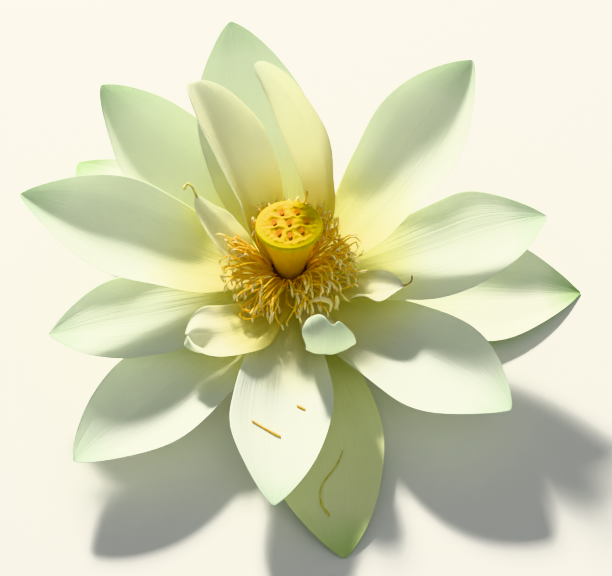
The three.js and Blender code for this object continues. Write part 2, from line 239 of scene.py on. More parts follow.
def add_tube(
    shape: BMesh, path: list[Vector], radius_at: Callable[[float], float], sides: int,
    layer: BMLayerItem | None = None, flatten: float = 1.0,
) -> None:
    """Adds a closed tube along a path.

    Args:
        shape: The mesh that gets the tube.
        path: The middle line's points, in millimetres.
        radius_at: The radius at each share of the length.
        sides: Faces round the tube.
        layer: A vertex layer that gets the share of the length.
        flatten: Height of the section as a share of its width.
    """
    steps = len(path) - 1
    across = Vector((0, 0, 1)).cross(path[1] - path[0])
    across = across.normalized() if across.length > TINY else Vector((1, 0, 0))
    sections = []
    for index, centre in enumerate(path):
        along = (path[min(index + 1, steps)] - path[max(index - 1, 0)]).normalized()
        across = (across - along * across.dot(along)).normalized()
        radius = 0.0 if index in (0, steps) else radius_at(index / steps)
        sections.append((centre, across * radius, along.cross(across) * (radius * flatten)))
    wrap_grid(shape, sides, sections, layer)


def spin_profile(
    shape: BMesh, profile: list[tuple[float, float]], segments: int, closed: bool = False,
) -> None:
    """Spins a profile a full turn about the bloom's axis.

    Args:
        shape: The mesh that gets the spun shape.
        profile: Radius and height of each point.
        segments: Faces round the axis.
        closed: Whether the profile closes on itself.
    """
    line = [shape.verts.new((radius, 0.0, z)) for radius, z in profile]
    ends = [*line[1:], line[0]] if closed else line[1:]
    edges = [shape.edges.new(pair) for pair in zip(line, ends)]
    bmesh.ops.spin(
        shape, geom=[*line, *edges], axis=(0, 0, 1), cent=(0, 0, 0), angle=2 * pi,
        steps=segments, use_merge=True,
    )


def smooth_path(points: list[Vector], steps: int) -> list[Vector]:
    """Runs a smooth line through a few points.

    Args:
        points: The points that the line passes through.
        steps: Stretches in the line.

    Returns:
        The line's points.
    """
    padded = [points[0] * 2 - points[1], *points, points[-1] * 2 - points[-2]]
    line = []
    for step in range(steps + 1):
        place = step / steps * (len(points) - 1)
        index = min(int(place), len(points) - 2)
        u = place - index
        before, start, end, after = padded[index:index + 4]
        line.append(0.5 * (
            2 * start
            + (end - before) * u
            + (2 * before - 5 * start + 4 * end - after) * u ** 2
            + (3 * start - before - 3 * end + after) * u ** 3
        ))
    return line


# ---- Finishes ----


@dataclass(frozen=True)
class TepalFinish:
    """Fresh tepal tissue: thin, waxy and full of air, so that light glows through it.

    Colour runs from the base of the blade to its tip. Fine veins run the length of the
    blade, and meet at both ends.
    """

    name: str
    base: str
    throat: str
    blade: str
    tip: str
    vein: str
    glow_base: str
    glow_tip: str
    throat_at: float = 0.3
    blade_at: float = 0.56
    translucency: float = 0.42
    vein_strength: float = 0.13
    roughness: float = 0.55
    veins_across: float = 34.0
    patch_mm: float = 24.0
    patch_shift: float = 0.16
    cell_mm: float = 0.8

    def build(self) -> Material:
        """Makes the material.

        Returns:
            The tepal's material.
        """
        material, tree = new_material(self.name)
        texture = add_node(tree, "TexCoord")
        split = add_node(tree, "SeparateXYZ", {0: texture.outputs["UV"]})
        patches = add_node(tree, "TexNoise", {
            "Vector": texture.outputs["Object"], "Scale": 1 / (self.patch_mm * MM),
            "Detail": 2.0, "Roughness": 0.5,
        })
        shifted = add_node(tree, "Math", {
            0: patches, 1: self.patch_shift, 2: split.outputs["Y"],
        }, operation="MULTIPLY_ADD")
        along = add_node(tree, "Math", {
            0: shifted, 1: self.patch_shift / 2,
        }, operation="SUBTRACT")
        gradient = set_ramp(add_node(tree, "ValToRGB", {"Fac": along}), [
            (0.1, self.base), (self.throat_at, self.throat), (self.blade_at, self.blade),
            (0.84, self.blade), (1.0, self.tip),
        ])
        lines = add_node(tree, "Mapping", {
            "Vector": texture.outputs["UV"], "Scale": (self.veins_across, 1.3, 1.0),
        })
        veins = add_node(tree, "TexNoise", {
            "Vector": lines, "Scale": 1.0, "Detail": 3.0, "Roughness": 0.62, "Distortion": 0.15,
        })
        vein_share = add_node(tree, "MapRange", {
            "Value": veins, "From Min": 0.5, "From Max": 0.7, "To Max": self.vein_strength,
        })
        colour = add_node(tree, "Mix", {
            0: vein_share, 6: gradient, 7: linear(self.vein),
        }, data_type="RGBA")
        glow = set_ramp(add_node(tree, "ValToRGB", {"Fac": along}), [
            (0.0, self.glow_base), (self.blade_at - 0.1, self.glow_tip), (1.0, self.tip),
        ])
        cells = add_node(tree, "TexNoise", {
            "Vector": texture.outputs["Object"], "Scale": 1 / (self.cell_mm * MM),
            "Detail": 2.0, "Roughness": 0.6,
        })
        height = add_node(tree, "Math", {0: cells, 1: 0.12, 2: veins}, operation="MULTIPLY_ADD")
        relief = add_node(tree, "Bump", {
            "Height": height, "Strength": 0.55, "Distance": 0.5 * MM,
        })
        surface = add_node(tree, "BsdfPrincipled", {
            "Base Color": colour.outputs[2], "Roughness": self.roughness,
            "Specular IOR Level": 0.22, "Normal": relief,
        })
        through = add_node(tree, "BsdfTranslucent", {"Color": glow, "Normal": relief})
        both = add_node(tree, "MixShader", {0: self.translucency, 1: surface, 2: through})
        add_node(tree, "OutputMaterial", {"Surface": both})
        return material


INNER_WHITE = TepalFinish(
    "tepal_inner_face_white", base="f4e888", throat="f9f4b8", blade="f6f7f1", tip="cadcc4",
    vein="dde2cc", glow_base="f4e888", glow_tip="dbe6cc", blade_at=0.52,
)
# The cream finish's dark olive-gold base is partly the tepal's own yellow base and partly
# painted shade under the stamens.
INNER_CREAM = TepalFinish(
    "tepal_inner_face_cream", base="b89808", throat="e2d258", blade="fdfae4", tip="fdfcf0",
    vein="ebe6b8", glow_base="ecd020", glow_tip="fffbe0", translucency=0.6,
)
INNER_SMALL = TepalFinish(
    "tepal_inner_face_small", base="e4ca30", throat="f8f08c", blade="fcfae4", tip="f0f2e4",
    vein="ebe6c0", glow_base="f4dc50", glow_tip="faf6cc", throat_at=0.5, blade_at=0.78,
    translucency=0.5,
)
INNER_PALE_GREEN = TepalFinish(
    "tepal_inner_face_pale_green", base="d8d69c", throat="e8ecc8", blade="f2f3e6",
    tip="98ba76", vein="d0dab8", glow_base="e0e098", glow_tip="d6e2b8", translucency=0.25,
)
INNER_GREEN = TepalFinish(
    "tepal_inner_face_green", base="dcd47c", throat="eaeaaa", blade="eef2be", tip="c8e094",
    vein="d0d8a0", glow_base="e4dc74", glow_tip="dce8a0", translucency=0.12,
)
OUTER_WHITE = TepalFinish(
    "tepal_outer_face_white", base="d8dca4", throat="ebeed2", blade="f1f4e8", tip="e4ecd6",
    vein="ccd6b8", glow_base="e8e47c", glow_tip="e8eecc", vein_strength=0.4, roughness=0.5,
)
OUTER_GREEN = TepalFinish(
    "tepal_outer_face_green", base="acbc78", throat="c0d098", blade="cedcb0", tip="accc88",
    vein="9cb474", glow_base="d0d474", glow_tip="c4d898", vein_strength=0.5, roughness=0.52,
)


def add_grained_surface(
    tree: NodeTree, texture: Node, grain_mm: float, grain: float, surface: dict[str, object],
) -> None:
    """Adds a skin's surface, with a fine grain that breaks up its gloss.

    Args:
        tree: The material's nodes.
        texture: Its texture coordinates.
        grain_mm: Size of the grain.
        grain: Strength of the grain.
        surface: The surface's inputs.
    """
    specks = add_node(tree, "TexNoise", {
        "Vector": texture.outputs["Object"], "Scale": 1 / (grain_mm * MM), "Detail": 2.0,
    })
    relief = add_node(tree, "Bump", {"Height": specks, "Strength": grain, "Distance": 0.2 * MM})
    skin = add_node(tree, "BsdfPrincipled", {**surface, "Normal": relief})
    add_node(tree, "OutputMaterial", {"Surface": skin})


@dataclass(frozen=True)
class PlantSkin:
    """Smooth living plant skin over solid tissue, with a soft waxy gloss.

    Two colours are mixed in patches, and a fine grain breaks up the gloss.
    """

    name: str
    light: str
    dark: str
    patch_mm: float
    grain_mm: float
    grain: float = 0.4
    roughness: float = 0.45

    @cache
    def build(self) -> Material:
        """Makes the material once, for all the pieces that have it.

        Returns:
            The skin's material.
        """
        material, tree = new_material(self.name)
        texture = add_node(tree, "TexCoord")
        patches = add_node(tree, "TexNoise", {
            "Vector": texture.outputs["Object"], "Scale": 1 / (self.patch_mm * MM),
            "Detail": 3.0, "Roughness": 0.55,
        })
        colour = set_ramp(add_node(tree, "ValToRGB", {"Fac": patches}), [
            (0.34, self.dark), (0.66, self.light),
        ])
        add_grained_surface(tree, texture, self.grain_mm, self.grain, {
            "Base Color": colour, "Roughness": self.roughness, "Specular IOR Level": 0.08,
        })
        return material


FILAMENT = PlantSkin("stamen_filament", "ffd42c", "fcbc18", 3.0, 0.6)
ANTHER = PlantSkin("stamen_anther_with_pollen", "ffe25c", "f4c034", 1.5, 0.35, 0.9, 0.7)
CLUB = PlantSkin("stamen_appendage", "fff2b8", "f4e084", 2.5, 0.5, 0.3, 0.42)
ROOT = PlantSkin("stamen_root", "b8741c", "7e4612", 1.2, 0.5)
STIGMA = PlantSkin("stigma", "c48200", "9c5e00", 1.0, 0.3, 0.6, 0.9)
PETALOID = PlantSkin("petaloid_stamen", "fff2b4", "f6e48c", 4.0, 0.6, 0.3, 0.42)
FADED_THREAD = PlantSkin("faded_stamen", "e6dc84", "c6ba50", 2.0, 0.4, 0.6, 0.6)
DRY_THREAD = PlantSkin("dry_filament", "c99a4c", "8a5a22", 1.5, 0.4, 0.6, 0.6)
FRESH_THREAD = PlantSkin("fallen_stamen", "f6c83c", "e2a81c", 2.0, 0.4, 0.6, 0.6)
STALK = PlantSkin("stalk_skin", "93ab55", "6f8a3c", 6.0, 0.6, 0.6, 0.42)
PITH = PlantSkin("cut_stalk_pith", "dfe4b8", "c3cf92", 1.2, 0.25, 0.8, 0.7)
CANAL = PlantSkin("stalk_air_canal", "8f9a5c", "6d7a3e", 1.0, 0.4, 0.4, 0.7)
PRICKLE = PlantSkin("stalk_prickle", "a9b86a", "7d8c44", 0.6, 0.3, 0.3, 0.5)


@dataclass(frozen=True)
class ReceptacleFinish:
    """The receptacle's spongy skin: matte, and soft enough that light blurs in it.

    Its flank runs from brown-gold at the foot, which is painted shade where the stamens
    crowd round it, to greenish yellow at the rim, with faint streaks down it. The dimples
    and slits on top are painted a deeper gold than the ridges between them: painted shade
    in the hollows.
    """

    # painted shade: the brown-gold at the foot of the flank, where the stamens crowd round it
    foot: str = "946404"
    flank: str = "e0ac06"
    rim: str = "c4b200"
    ridge: str = "c8ac00"
    # painted shade: the deeper gold of the dimples and slits on top; the flank's faint streaks
    # are drawn in it too
    hollow: str = "bc9000"
    streak_mm: float = 1.6
    streak_stretch: float = 0.12
    grain_mm: float = 0.45
    grain: float = 0.3
    blur_mm: float = 1.4

    def build(self) -> Material:
        """Makes the material, which reads the mesh's hollow and on_top attributes.

        Returns:
            The receptacle's material.
        """
        material, tree = new_material("receptacle_skin")
        texture = add_node(tree, "TexCoord")
        split = add_node(tree, "SeparateXYZ", {0: texture.outputs["Object"]})
        height = add_node(tree, "MapRange", {
            "Value": split.outputs["Z"], "From Min": FOOT.z,
            "From Max": FOOT.z + HEAD_HEIGHT * MM,
        })
        # The foot stop is painted shade where the stamens crowd round the flank.
        flank = set_ramp(add_node(tree, "ValToRGB", {"Fac": height}), [
            (0.0, self.foot), (0.28, self.flank), (0.84, self.flank), (0.93, self.rim),
        ])
        stretched = add_node(tree, "Mapping", {
            "Vector": texture.outputs["Object"], "Location": (-FOOT.x, -FOOT.y, 0.0),
            "Scale": (1.0, 1.0, self.streak_stretch),
        })
        streaks = add_node(tree, "TexNoise", {
            "Vector": stretched, "Scale": 1 / (self.streak_mm * MM), "Detail": 3.0,
        })
        streak_share = add_node(tree, "MapRange", {
            "Value": streaks, "From Min": 0.45, "From Max": 0.75, "To Max": 0.4,
        })
        streaked = add_node(tree, "Mix", {
            0: streak_share, 6: flank, 7: linear(self.hollow),
        }, data_type="RGBA")
        # Painted shade: the hollows and slits on top get the deeper gold hollow colour.
        hollow = add_node(tree, "Attribute", attribute_name="hollow")
        top = set_ramp(add_node(tree, "ValToRGB", {"Fac": hollow.outputs["Fac"]}), [
            (0.25, self.ridge), (0.8, self.hollow),
        ])
        on_top = add_node(tree, "Attribute", attribute_name="on_top")
        colour = add_node(tree, "Mix", {
            0: on_top.outputs["Fac"], 6: streaked.outputs[2], 7: top,
        }, data_type="RGBA")
        add_grained_surface(tree, texture, self.grain_mm, self.grain, {
            "Base Color": colour.outputs[2], "Roughness": 0.7, "Specular IOR Level": 0.02,
            "Subsurface Weight": 0.45, "Subsurface Radius": (1.0, 0.8, 0.1),
            "Subsurface Scale": self.blur_mm * MM,
        })
        return material


@dataclass(frozen=True)
class PaperFloor:
    """Matte, pale studio paper."""

    colour: str = "e6e5df"

    def build(self) -> Material:
        """Makes the material.

        Returns:
            The floor's material.
        """
        material, tree = new_material("studio_paper")
        surface = add_node(tree, "BsdfPrincipled", {
            "Base Color": linear(self.colour), "Roughness": 0.9,
        })
        add_node(tree, "OutputMaterial", {"Surface": surface})
        return material


# ---- Tepals ----

BLADE = 0.7
ROWS = 56
COLUMNS = 26
LAST_ROW_AT = 0.9994
FINE_STEPS = 400
LONGEST_REACH = 1.25
TIP_HALF_WIDTH = 0.45
BASE_RADIUS = 7.0
FLAT_BASE = 0.2
FULL_FORM_AT = 0.4
NARROW_BASE = 0.16
LONG_WANDER = 0.012
SHORT_WANDER = 0.006
TRIM_SPREAD = 0.16
NOTCH_SPREAD = 0.22
THIN_EDGE = 0.55
THIN_TIP = 0.2


class Tint(Enum):
    """How far a tepal has turned from bud green, which sets the colours of its faces."""

    GREEN = "green"
    PALE_GREEN = "pale_green"
    WHITE = "white"
    CREAM = "cream"
    SMALL = "small"


@dataclass
class Tepal:
    """One tepal: a cupped blade along a midrib that swings and climbs.

    Angles are in degrees and sizes in millimetres. The first fields are the solid's own
    and the last ones add what is finer than the solid. In a pair, the half of the blade
    that is on the left as one looks out from the axis comes first.
    """

    name: str
    az: float
    bend: float
    rise: float
    end: float
    level: float
    length: float
    width: float
    roll: float
    cup: tuple[float, float]
    widest: float
    taper: float
    curl: float = 1.0
    rests: bool = False
    tint: Tint = Tint.WHITE
    ripple: float = 0.7
    waves: float = 2.3
    pleat: float = 0.22
    skew: float = 0.0
    blunt: float = 0.0
    notch: float = 0.0
    lip: tuple[float, float] = (0.0, 0.0)
    trim: tuple[float, float] = (0.0, 0.0)
    trim_at: float = 0.7
    crumple: float = 0.0
    drop: float = field(default=0.0, init=False)
    midrib: list[Vector] = field(default_factory=list, init=False)
    phases: list[float] = field(default_factory=list, init=False)

    def __post_init__(self) -> None:
        """Walks the midrib, draws the seeded phases and settles a resting tepal."""
        draw = random.Random(self.name)
        self.phases = [draw.uniform(0, 2 * pi) for _ in range(5)]
        walker = aim(radians(self.az), 0.0) * BASE_RADIUS + Vector((0, 0, self.level))
        self.midrib = [walker.copy()]
        for step in range(int(FINE_STEPS * LONGEST_REACH)):
            along, _, _ = self.directions((step + 0.5) / FINE_STEPS)
            walker = walker + along * (self.length / FINE_STEPS)
            self.midrib.append(walker.copy())
        if self.rests:
            lowest = min(
                point.z - normal.z * BLADE / 2
                for point, normal in (self.sheet(1.0, t / 4) for t in range(-4, 5))
            )
            self.drop = FLOOR_Z - lowest

    def form_at(self, s: float) -> float:
        """Gives the share of its cupping and roll that the blade has at s."""
        return mix(FLAT_BASE, 1.0, clamp(s / FULL_FORM_AT))

    def outline(self, s: float) -> float:
        """Gives the blade's outline, which swells to its widest place and closes at the tip.

        Args:
            s: Share of the way from the base to the tip.

        Returns:
            The width as a share of the full width.
        """
        if s < self.widest:
            return mix(NARROW_BASE, 1.0, sin(pi / 2 * s / self.widest))
        towards_tip = clamp((s - self.widest) / (1 - self.widest))
        return max(cos(pi / 2 * towards_tip), 0.0) ** self.taper

    def directions(self, s: float) -> tuple[Vector, Vector, Vector]:
        """Finds the blade's directions at s.

        Args:
            s: Share of the way from the base to the tip.

        Returns:
            Along the midrib, across the blade, and out of its inner face.
        """
        heading = radians(self.az + self.bend * s)
        climb = radians(mix(self.rise, self.end, s ** self.curl))
        along = aim(heading, climb)
        up = aim(heading, climb + pi / 2)
        across = along.cross(up)
        turn = radians(self.roll) * self.form_at(s)
        inner = up * cos(turn) + across * sin(turn)
        return along, across * cos(turn) - up * sin(turn), inner

    def reach(self, t: float) -> float:
        """Gives how far along the midrib the blade runs at t, as a share of its length."""
        square = 1 + self.skew * t - self.blunt * abs(t) ** 2.2
        return square - self.notch * bump_at(0.0, NOTCH_SPREAD, t)

    def half_width(self, s: float, t: float) -> float:
        """Gives half the flattened blade's width, with its slightly wandering edge.

        Args:
            s: Share of the way from the base to the tip.
            t: From -1 to 1 across the blade, of which only the side counts.

        Returns:
            The half width, in millimetres.
        """
        side = 0 if t < 0 else 1
        wander = 1 + LONG_WANDER * sin(9 * s + self.phases[side])
        wander += SHORT_WANDER * sin(23 * s + self.phases[3 - side])
        wander -= self.trim[side] * bump_at(self.trim_at, TRIM_SPREAD, s)
        share = self.outline(s * (1 - self.blunt))
        return max(self.width / 2 * share * wander, TIP_HALF_WIDTH)

    def sheet(self, s: float, t: float) -> tuple[Vector, Vector]:
        """Places a point of the plain cupped sheet.

        Args:
            s: Share of the way from the base to the tip.
            t: From -1 to 1 across the blade.

        Returns:
            The point and the inner face's normal.
        """
        far = s * self.reach(t)
        place = min(far, LONGEST_REACH - TINY) * FINE_STEPS
        index = int(place)
        centre = self.midrib[index].lerp(self.midrib[index + 1], place - index)
        _, across, inner = self.directions(far)
        cup = radians(self.cup[0 if t < 0 else 1]) * self.form_at(s)
        radius = self.half_width(s, t) / cup
        point = (
            centre
            + across * (radius * sin(cup * t))
            + inner * (radius * (1 - cos(cup * t)))
        )
        point.z += self.drop * s ** 2
        return point, inner * cos(cup * t) - across * sin(cup * t)

    def fine_point(self, s: float, t: float) -> Vector:
        """Adds the blade's pleats, wavy margins, rolled lips and crumpled tip to the sheet.

        Args:
            s: Share of the way from the base to the tip.
            t: From -1 to 1 across the blade.

        Returns:
            The point, in millimetres.
        """
        point, normal = self.sheet(s, t)
        side = 0 if t < 0 else 1
        edge = abs(t) ** 4
        ends = sin(pi * clamp(s)) ** 0.7 if 0 < s < 1 else 0.0
        wave = sin(2 * pi * self.waves * s + self.phases[2 + side])
        folds = sin(5.5 * t + self.phases[4]) + 0.6 * sin(11 * t + self.phases[0])
        lift = self.ripple * edge * wave * ends
        lift += self.pleat * folds * ends * (1 - 0.5 * edge)
        lift += self.lip[side] * smooth(0.55, 1.0, abs(t)) * ends
        lift += self.crumple * smooth(0.66, 0.98, s) * sin(5.2 * t + self.phases[1])
        return point + normal * lift

    def build(self, inner: Material, outer: Material) -> BMesh:
        """Builds the blade and gives it its thickness and smoothing.

        Args:
            inner: The finish of the face towards the axis.
            outer: The finish of the face away from it.

        Returns:
            A copy of the blade's middle surface, in millimetres.
        """
        shape = bmesh.new()
        uv_layer = shape.loops.layers.uv.new("blade")
        bmesh.ops.create_grid(shape, x_segments=COLUMNS, y_segments=ROWS, size=1)
        body = shape.verts.layers.deform.verify()
        for face in shape.faces:
            for loop in face.loops:
                loop[uv_layer].uv = ((loop.vert.co.x + 1) / 2, (loop.vert.co.y + 1) / 2)
        for vert in shape.verts:
            t, s = vert.co.x, LAST_ROW_AT * (vert.co.y + 1) / 2
            thinning = THIN_EDGE * smooth(0.75, 1.0, abs(t)) + THIN_TIP * smooth(0.8, 1.0, s)
            vert[body][0] = 1 - thinning
            vert.co = self.fine_point(s, t)
        bmesh.ops.reverse_faces(shape, faces=shape.faces)
        middle = shape.copy()
        name = self.name.replace("tepal", "blade")
        piece = finish_piece(name, shape, [outer, inner], self.name, closed=False)
        group = piece.vertex_groups.new(name="body")
        walls = piece.modifiers.new("walls", "SOLIDIFY")
        walls.thickness = BLADE * MM
        walls.offset = 0.0
        walls.vertex_group = group.name
        walls.material_offset = 1
        walls.material_offset_rim = 1
        rounding = piece.modifiers.new("rounding", "SUBSURF")
        rounding.levels = rounding.render_levels = 1
        return middle


TEPALS = [
    Tepal("tepal_outer_right", 2, 2, -8, -5, -8, 115, 57, 13, (42, 35), 0.55, 0.88,
          rests=True, tint=Tint.PALE_GREEN),
    Tepal("tepal_outer_front", -81, 2, -12, -4, -8, 110, 49, -3, (38, 40), 0.58, 0.73,
          rests=True, tint=Tint.GREEN),
    Tepal("tepal_outer_back_left", 146, -14, -8, -4, -8, 124, 51, 0, (40, 40), 0.56, 0.82,
          rests=True, tint=Tint.PALE_GREEN),
    Tepal("tepal_back_left", 138, 8, 8, 51, -6.5, 107, 50, -6, (55, 41), 0.58, 0.69),
    Tepal("tepal_front_left", -128, -7, -7, 11, -6.3, 108, 44, -2, (36, 38), 0.63, 0.71),
    Tepal("tepal_front_right", -41, 0, -4, 17, -6, 100, 47, 3, (41, 35), 0.65, 0.78),
    Tepal("tepal_front", -92, -1, 1, 7, -4.5, 100, 39, -3, (33, 36), 0.62, 0.81),
    Tepal("tepal_left_low", -152, -16, 4, 6, -4.6, 91, 39, -6, (25, 42), 0.66, 0.85),
    Tepal("tepal_right", -3, 10, 4, 37, -4.5, 99, 50, 5, (42, 41), 0.66, 0.8),
    Tepal("tepal_left", -178, -6, 17, 35, -2.6, 104, 48, -12, (45, 38), 0.59, 0.78),
    Tepal("tepal_back_right", 25, 15, 28, 64, -3.4, 108, 52, -4, (39, 45), 0.63, 0.72),
    Tepal("tepal_back", 106, 0, 27, 47, -3.5, 103, 52, 0, (41, 41), 0.54, 0.74),
    Tepal("tepal_inner_left", 132, -6, 61, 34, -1.5, 81, 38, 23, (64, 50), 0.6, 0.46,
          tint=Tint.CREAM, ripple=0.5, blunt=0.02),
    Tepal("tepal_inner_right", 42, 147, 43, 52, -1.2, 92, 21, -50, (40, 44), 0.52, 0.5,
          tint=Tint.CREAM, ripple=0.5, blunt=0.04, trim=(0.0, 0.22), trim_at=0.72),
    Tepal("tepal_small_back_left", 179, -52, 39, 42, -1, 45, 17, 0, (38, 45), 0.6, 0.62,
          tint=Tint.CREAM, ripple=1.1, trim=(0.3, 0.3), trim_at=0.9),
    Tepal("tepal_small_front_left", -103, -74, 2, 22, -1.6, 53, 29, 0, (46, 36), 0.76, 0.36,
          tint=Tint.SMALL, curl=2.0, ripple=1.5, waves=1.9, pleat=0.5, lip=(-2.0, 0.0),
          trim=(0.32, 0.0), trim_at=0.38, crumple=2.4),
    Tepal("tepal_small_front", -68, -11, -4.5, 156, -0.7, 66, 20, 0, (24, 46), 0.78, 0.26,
          curl=2.6, ripple=0.4, skew=0.075, blunt=0.05, notch=0.05, trim=(0.08, -0.24),
          trim_at=0.92),
    Tepal("tepal_small_right", -29, 20, 12, 22, -1.6, 42, 16, 0, (45, 36), 0.76, 0.66,
          tint=Tint.SMALL, ripple=2.0, waves=2.8, pleat=0.4),
]


@dataclass
class Corolla:
    """All the tepals, with the surfaces that the stamens have to stay clear of."""

    tepals: list[Tepal]
    surfaces: BVHTree | None = None

    def build(self) -> None:
        """Builds every tepal with the two finishes of its tint."""
        white, green = OUTER_WHITE.build(), OUTER_GREEN.build()
        finishes = {
            Tint.GREEN: (INNER_GREEN.build(), green),
            Tint.PALE_GREEN: (INNER_PALE_GREEN.build(), green),
            Tint.WHITE: (INNER_WHITE.build(), white),
            Tint.CREAM: (INNER_CREAM.build(), white),
            Tint.SMALL: (INNER_SMALL.build(), white),
        }
        points: list[Vector] = []
        faces: list[list[int]] = []
        for tepal in self.tepals:
            middle = tepal.build(*finishes[tepal.tint])
            start = len(points)
            points.extend(vert.co.copy() for vert in middle.verts)
            faces.extend([start + vert.index for vert in face.verts] for face in middle.faces)
            middle.free()
        self.surfaces = BVHTree.FromPolygons(points, faces)

    def named(self, name: str) -> Tepal:
        """Finds a tepal by its name."""
        return next(tepal for tepal in self.tepals if tepal.name == name)


# ---- Receptacle ----


@dataclass
class Receptacle:
    """The yellow cone that holds the carpels, with its wrinkled top and its stigmas."""

    rim_bulge: float = 0.5
    top_rise: float = 0.9
    top_radius: float = 11.0
    top_steps: int = 56
    flank_steps: int = 30
    segments: int = 144
    ribs: int = 19
    rib_height: float = 0.05
    creases: int = 24
    carpels: tuple[tuple[float, float], ...] = (
        (0.0, 0.0), (-2.9, 5.5), (3.1, 5.8), (-5.8, 0.2), (6.4, 1.2), (-3.8, -5.0),
        (0.4, -6.4), (4.9, -4.2),
    )
    stigma_radius: float = 0.82
    stigma_stretch: float = 2.1
    stigma_height: float = 1.5
    stigma_depth: float = 0.4
    stigma_sides: int = 14

    def profile(self) -> list[tuple[float, float]]:
        """Draws the profile from the foot, over the rim, to the middle of the top.

        Returns:
            Radius and height of each point.
        """
        shares = [step / self.flank_steps for step in range(self.flank_steps - 3)]
        flank = [
            (mix(FOOT_RADIUS, RIM_RADIUS, share) - 0.25 * sin(pi * share),
             share * HEAD_HEIGHT)
            for share in shares
        ]
        bulge = RIM_RADIUS + self.rim_bulge
        rim = [
            (RIM_RADIUS - 0.25, HEAD_HEIGHT - 2.9), (RIM_RADIUS + 0.1, HEAD_HEIGHT - 2.3),
            (bulge - 0.05, HEAD_HEIGHT - 1.7), (bulge, HEAD_HEIGHT - 1.1),
            (bulge - 0.2, HEAD_HEIGHT - 0.4), (RIM_RADIUS - 0.1, HEAD_HEIGHT),
            (RIM_RADIUS - 0.6, HEAD_HEIGHT - 0.1), (RIM_RADIUS - 1.1, HEAD_HEIGHT - 0.4),
        ]
        top = [
            (self.top_radius * (1 - step / self.top_steps), HEAD_HEIGHT)
            for step in range(self.top_steps)
        ]
        return [(0.02, 0.0), *flank, *rim, *top, (0.0, HEAD_HEIGHT)]

    def top_shape(self, x: float, y: float) -> tuple[float, float]:
        """Shapes the top: a low dome with a slit round each carpel and wavy ridges between.

        Args:
            x: Distance from the axis towards +X.
            y: Distance from the axis towards +Y.

        Returns:
            The height above the rim, and how hollow the place is, from 0 to 1, which sets
            how much painted shade the skin gives it.
        """
        radius = hypot(x, y)
        warp_x = 1.3 * noise.noise(Vector((x * 0.3, y * 0.3, 3.1)))
        warp_y = 1.5 * noise.noise(Vector((x * 0.42, y * 0.2, 8.4)))
        dome = self.top_rise * (1 - (radius / RIM_RADIUS) ** 2)
        nearby = sorted(
            (hypot(x + warp_x - carpel_x, 1.25 * (y + warp_y - carpel_y)), index)
            for index, (carpel_x, carpel_y) in enumerate(self.carpels)
        )
        first, second = (self.carpels[index] for _, index in nearby[:2])
        apart = hypot(first[0] - second[0], first[1] - second[1])
        level = abs(first[1] - second[1]) / apart
        wall = bump_at(0.0, 2.0, nearby[1][0] - nearby[0][0]) * mix(0.5, 1.0, level)
        wall = max(wall, 0.8 * smooth(2.4, 3.9, nearby[0][0]))
        puckers = noise.noise(Vector((x * 0.36, y * 0.62, 2.2)))
        creases = sin(self.creases * atan2(y, x) + 4 * warp_x) * smooth(7.6, 9.4, radius)
        slit = max(
            bump_at(0.0, 1.0, hypot((x - carpel_x) / 1.25, (y - carpel_y - 0.2) / 2.1))
            for carpel_x, carpel_y in self.carpels
        )
        inside = 1 - smooth(self.top_radius - 0.9, self.top_radius + 0.2, radius)
        ridges = 0.5 * wall + 0.36 * puckers + 0.14 * creases
        height = dome + inside * (ridges * (1 - slit) - 0.6 * slit - 0.26)
        # How hollow the place is, which the skin turns into painted shade in the dimples and
        # slits.
        hollow = clamp(slit + (0.45 - 0.45 * wall - 0.6 * puckers) * inside)
        return height, hollow

    def build(self) -> None:
        """Spins the profile, shapes its top and gives the flank its slight ribs."""
        shape = bmesh.new()
        # The hollow layer carries where the receptacle's skin paints shade on the top.
        hollow_layer = shape.verts.layers.float.new("hollow")
        top_layer = shape.verts.layers.float.new("on_top")
        spin_profile(shape, self.profile(), self.segments)
        bmesh.ops.remove_doubles(shape, verts=shape.verts, dist=SPIN_MERGE)
        for vert in shape.verts:
            radius = hypot(vert.co.x, vert.co.y)
            if vert.co.z > HEAD_HEIGHT - 0.45 and radius < RIM_RADIUS - 1.05:
                lift, vert[hollow_layer] = self.top_shape(vert.co.x, vert.co.y)
                vert.co.z = HEAD_HEIGHT + lift
            if vert.co.z >= HEAD_HEIGHT - 1:
                vert[top_layer] = 1 - smooth(self.top_radius - 0.6, self.top_radius + 1, radius)
            if vert.co.z < HEAD_HEIGHT - 0.5 and radius > 1:
                turn = self.ribs * atan2(vert.co.y, vert.co.x)
                swell = 1 + self.rib_height * sin(turn + 0.12 * vert.co.z) / radius
                vert.co.x *= swell
                vert.co.y *= swell
        skin = ReceptacleFinish().build()
        finish_piece("receptacle_skin", shape, [skin], "receptacle")

    def build_stigmas(self) -> None:
        """Builds the short pegs in the dimples, each with a flared and dished head."""
        draw = random.Random(4)
        shape = bmesh.new()
        shares = (0.0, 0.02, 0.3, 0.6, 0.8, 0.93, 0.99, 1.0, 0.96, 0.94)
        radii = (0.0, 0.78, 0.72, 0.74, 0.86, 1.0, 0.96, 0.75, 0.35, 0.0)
        for x, y in self.carpels:
            foot = Vector((x, y, HEAD_HEIGHT + self.top_shape(x, y)[0] - self.stigma_depth))
            lean = Vector((draw.uniform(-0.12, 0.12), draw.uniform(-0.12, 0.12), 1.0))
            wrap_grid(shape, self.stigma_sides, [
                (foot + lean * (self.stigma_height * share),
                 Vector((self.stigma_radius * radius, 0, 0)),
                 Vector((0, self.stigma_radius * radius * self.stigma_stretch, 0)))
                for share, radius in zip(shares, radii)
            ])
        finish_piece("stigmas", shape, [STIGMA.build()])


# ---- Stamens ----


